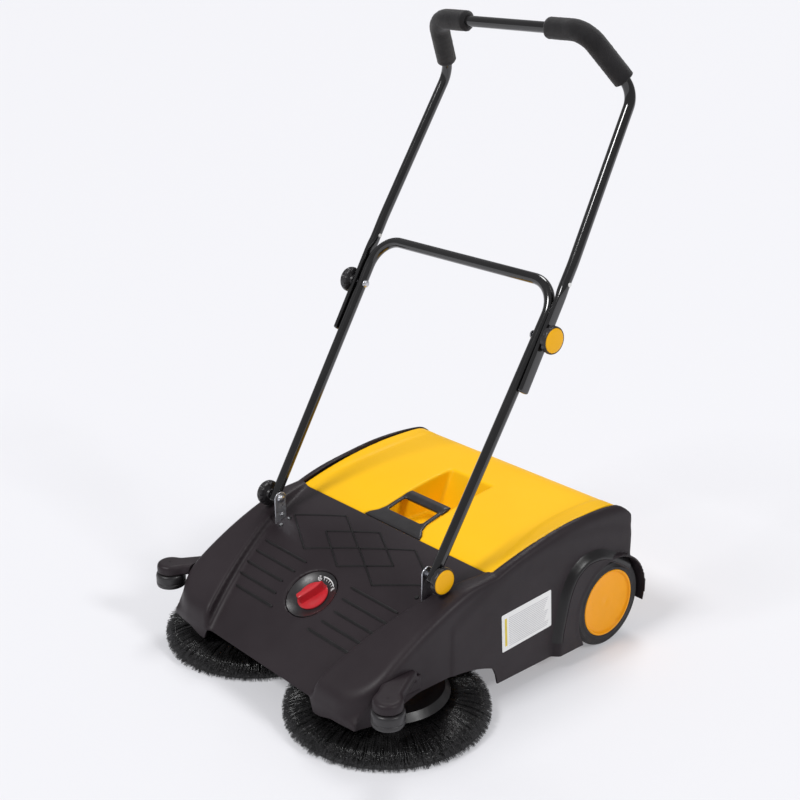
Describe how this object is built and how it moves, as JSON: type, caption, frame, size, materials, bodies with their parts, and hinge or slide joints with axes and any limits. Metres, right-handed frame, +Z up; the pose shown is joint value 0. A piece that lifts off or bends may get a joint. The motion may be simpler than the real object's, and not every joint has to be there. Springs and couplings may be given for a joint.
{
  "type": "push sweeper",
  "caption": "Walk-behind manual floor sweeper with side brushes, roller brush, rear wheels, removable yellow hopper and a folding tubular push handle.",
  "frame": {"origin": "on the floor under the centre of the footprint", "axes": "+X is the right side seen from behind, -Y is the front with the side brushes, +Z is up"},
  "size_m": [0.7112, 0.7231, 1.1064],
  "materials": {
    "belt": "smooth round cord",
    "bristle": "dense nylon bristle",
    "cap": "satin yellow",
    "core": "plain black moulding",
    "dial": "satin red",
    "foam": "soft closed-cell foam",
    "gear": "natural nylon",
    "grip_bar": "matt black",
    "housing": "textured matt black moulding",
    "knob": "matt black",
    "label": "matt film",
    "lid": "satin yellow moulding",
    "lip": "matt sheet",
    "plug": "pale plastic",
    "tub": "matt yellow moulding",
    "tube": "gloss black powder coat",
    "tyre": "moulded tread",
    "wheel_hub": "satin amber moulding",
    "zinc": "bright zinc plate"
  },
  "bodies": {
    "chassis": {"front_cover": "housing", "side_panel_right": "housing", "side_panel_left": "housing", "carrier_plate_right": "zinc", "carrier_plate_left": "zinc", "roller_hood": "housing", "lip_bar": "zinc", "dirt_lip": "lip", "brush_beam": "zinc", "spindles": "zinc", "spindle_bolts": "zinc", "lay_pins": "zinc", "stub_axles": "zinc", "pivot_brackets": "zinc", "bracket_screws": "tube", "pivot_bolts": "zinc", "dial_plate": "core", "label": "label", "bumper_brackets": "housing", "bumper_pins": "zinc", "drive_belt": "belt", "brush_belt_right": "belt", "brush_belt_left": "belt"},
    "right_wheel": {"tyre_right": "tyre", "hub_right": "wheel_hub", "drive_pulley": "core"},
    "left_wheel": {"tyre_left": "tyre", "hub_left": "wheel_hub"},
    "roller": {"roller_core": "core", "roller_bristles": "bristle", "roller_pulleys": "core"},
    "lay_right": {"lay_gear_right": "gear"},
    "lay_left": {"lay_gear_left": "gear"},
    "side_brush_right": {"brush_disc_right": "core", "bristle_ring_right": "bristle", "crown_gear_right": "gear"},
    "side_brush_left": {"brush_disc_left": "core", "bristle_ring_left": "bristle", "crown_gear_left": "gear"},
    "lower_frame": {"lower_handle": "tube", "mid_bolts": "zinc"},
    "upper_frame": {"upper_handle": "tube", "grip_right": "foam", "grip_left": "foam", "tube_plugs": "plug"},
    "clamp_low_right": {"knob_low_right": "knob", "cap_low_right": "cap"},
    "clamp_low_left": {"knob_low_left": "knob", "cap_low_left": "cap"},
    "clamp_mid_right": {"knob_mid_right": "knob", "cap_mid_right": "cap"},
    "clamp_mid_left": {"knob_mid_left": "knob", "cap_mid_left": "cap"},
    "height_dial": {"dial_knob": "dial"},
    "bumper_right": {"bumper_roller_right": "core"},
    "bumper_left": {"bumper_roller_left": "core"},
    "hopper": {"hopper_lid": "lid", "hopper_tub": "tub"},
    "grip_flap": {"carry_handle": "grip_bar"}
  },
  "joints": [
    {"name": "right_wheel_spin", "type": "hinge", "parent": "chassis", "child": "right_wheel", "pos_m": [0.255, 0.266, 0.084], "axis": [1, 0, 0], "continuous": true},
    {"name": "left_wheel_spin", "type": "hinge", "parent": "chassis", "child": "left_wheel", "pos_m": [-0.255, 0.266, 0.084], "axis": [1, 0, 0], "continuous": true},
    {"name": "roller_spin", "type": "hinge", "parent": "chassis", "child": "roller", "pos_m": [0, 0.033, 0.062], "axis": [1, 0, 0], "continuous": true},
    {"name": "lay_right_spin", "type": "hinge", "parent": "chassis", "child": "lay_right", "pos_m": [0.217, -0.184, 0.11382], "axis": [1, 0, 0], "continuous": true},
    {"name": "lay_left_spin", "type": "hinge", "parent": "chassis", "child": "lay_left", "pos_m": [-0.217, -0.184, 0.11382], "axis": [1, 0, 0], "continuous": true},
    {"name": "side_brush_right_spin", "type": "hinge", "parent": "chassis", "child": "side_brush_right", "pos_m": [0.178, -0.184, 0.05], "axis": [0, 0, 1], "continuous": true},
    {"name": "side_brush_left_spin", "type": "hinge", "parent": "chassis", "child": "side_brush_left", "pos_m": [-0.178, -0.184, 0.05], "axis": [0, 0, 1], "continuous": true},
    {"name": "handle_tilt", "type": "hinge", "parent": "chassis", "child": "lower_frame", "pos_m": [0, -0.115, 0.2456], "axis": [1, 0, 0], "range_deg": [-38, 35]},
    {"name": "handle_fold", "type": "hinge", "parent": "lower_frame", "child": "upper_frame", "pos_m": [0, 0.10782, 0.61395], "axis": [1, 0, 0], "range_deg": [0, 135]},
    {"name": "clamp_low_right_turn", "type": "hinge", "parent": "chassis", "child": "clamp_low_right", "pos_m": [0.235, -0.115, 0.2456], "axis": [1, 0, 0], "range_deg": [0, 180]},
    {"name": "clamp_low_left_turn", "type": "hinge", "parent": "chassis", "child": "clamp_low_left", "pos_m": [-0.235, -0.115, 0.2456], "axis": [1, 0, 0], "range_deg": [0, 180]},
    {"name": "clamp_mid_right_turn", "type": "hinge", "parent": "lower_frame", "child": "clamp_mid_right", "pos_m": [0.25, 0.10782, 0.61395], "axis": [1, 0, 0], "range_deg": [0, 180]},
    {"name": "clamp_mid_left_turn", "type": "hinge", "parent": "lower_frame", "child": "clamp_mid_left", "pos_m": [-0.25, 0.10782, 0.61395], "axis": [1, 0, 0], "range_deg": [0, 180]},
    {"name": "dial_turn", "type": "hinge", "parent": "chassis", "child": "height_dial", "pos_m": [0, -0.203, 0.161], "axis": [0, -0.506, 0.8625], "range_deg": [-60, 60]},
    {"name": "bumper_right_spin", "type": "hinge", "parent": "chassis", "child": "bumper_right", "pos_m": [0.307, -0.294, 0.102], "axis": [0, 0, 1], "continuous": true},
    {"name": "bumper_left_spin", "type": "hinge", "parent": "chassis", "child": "bumper_left", "pos_m": [-0.307, -0.294, 0.102], "axis": [0, 0, 1], "continuous": true},
    {"name": "hopper_slide", "type": "slide", "parent": "chassis", "child": "hopper", "axis": [0, 1, 0], "range_m": [0, 0.38]},
    {"name": "grip_flap_lift", "type": "hinge", "parent": "hopper", "child": "grip_flap", "pos_m": [0, -0.013, 0.227], "axis": [1, 0, 0], "range_deg": [0, 72]}
  ],
  "couplings": [
    {"joint": "roller_spin", "follows": "right_wheel_spin", "ratio": 2.5},
    {"joint": "lay_right_spin", "follows": "right_wheel_spin", "ratio": 2.5},
    {"joint": "lay_left_spin", "follows": "right_wheel_spin", "ratio": 2.5},
    {"joint": "side_brush_right_spin", "follows": "right_wheel_spin", "ratio": -0.83333},
    {"joint": "side_brush_left_spin", "follows": "right_wheel_spin", "ratio": 0.83333}
  ]
}
